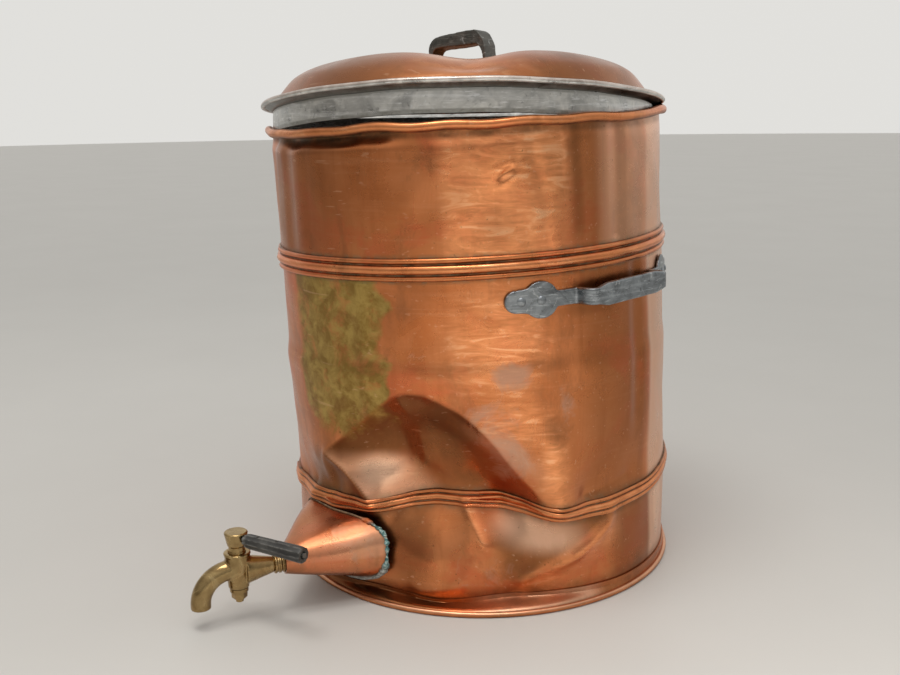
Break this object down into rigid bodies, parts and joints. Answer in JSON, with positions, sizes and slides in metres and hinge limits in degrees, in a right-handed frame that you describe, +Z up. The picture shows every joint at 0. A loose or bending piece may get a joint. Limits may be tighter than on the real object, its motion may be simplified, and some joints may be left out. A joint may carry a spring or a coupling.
{
  "type": "copper hot-water urn",
  "caption": "Old dented copper hot-water urn with a loose domed lid, forged side handles and a brass plug tap on a cone-shaped boss.",
  "frame": {"origin": "middle of the flat underside, on the surface that the urn stands on", "axes": "+Z up; the tap is at the front along -Y; the side handles stand out along +X and -X"},
  "size_m": [0.3884, 0.5036, 0.495],
  "materials": {
    "copper": "worn and polished copper sheet with patina in its dents",
    "dull_copper": "unpolished copper",
    "brass": "aged brass",
    "tinned_iron": "tinned wrought iron, dull and scratched",
    "iron_wire": "plain iron wire",
    "solder": "dull solder with green crust",
    "black_wood": "blackened turned wood"
  },
  "bodies": {
    "urn": {"base_plate": "dull_copper", "foot_ring": "copper", "foot_wire": "iron_wire", "lower_course": "copper", "lower_band": "copper", "middle_course": "copper", "upper_band": "copper", "upper_course": "copper", "rim_roll": "copper", "rim_wire": "iron_wire", "tap_boss": "copper", "boss_solder": "solder", "boss_bush": "brass", "tap_collar": "brass", "tap_body": "brass", "right_handle": "tinned_iron", "right_handle_rivets": "tinned_iron", "right_handle_roves": "dull_copper", "left_handle": "tinned_iron", "left_handle_rivets": "tinned_iron", "left_handle_roves": "dull_copper"},
    "tap_key": {"tap_plug": "brass", "plug_washer": "brass", "plug_nut": "brass", "lever_tang": "brass", "lever_grip": "black_wood", "lever_pins": "brass"},
    "lid": {"lid_dome": "copper", "lid_brim": "tinned_iron", "lid_brim_wire": "iron_wire", "lid_collar": "tinned_iron", "lid_handle": "tinned_iron", "lid_handle_rivets": "tinned_iron", "lid_handle_roves": "dull_copper"}
  },
  "joints": [
    {"name": "tap_turn", "type": "hinge", "parent": "urn", "child": "tap_key", "pos_m": [-0.01086, -0.27947, 0.0763], "axis": [0, 0, 1], "range_deg": [-230, 40]},
    {"name": "lid_lift", "type": "slide", "parent": "urn", "child": "lid", "axis": [-0.0274, -0.0294, 0.9992], "range_m": [0, 0.12]}
  ]
}
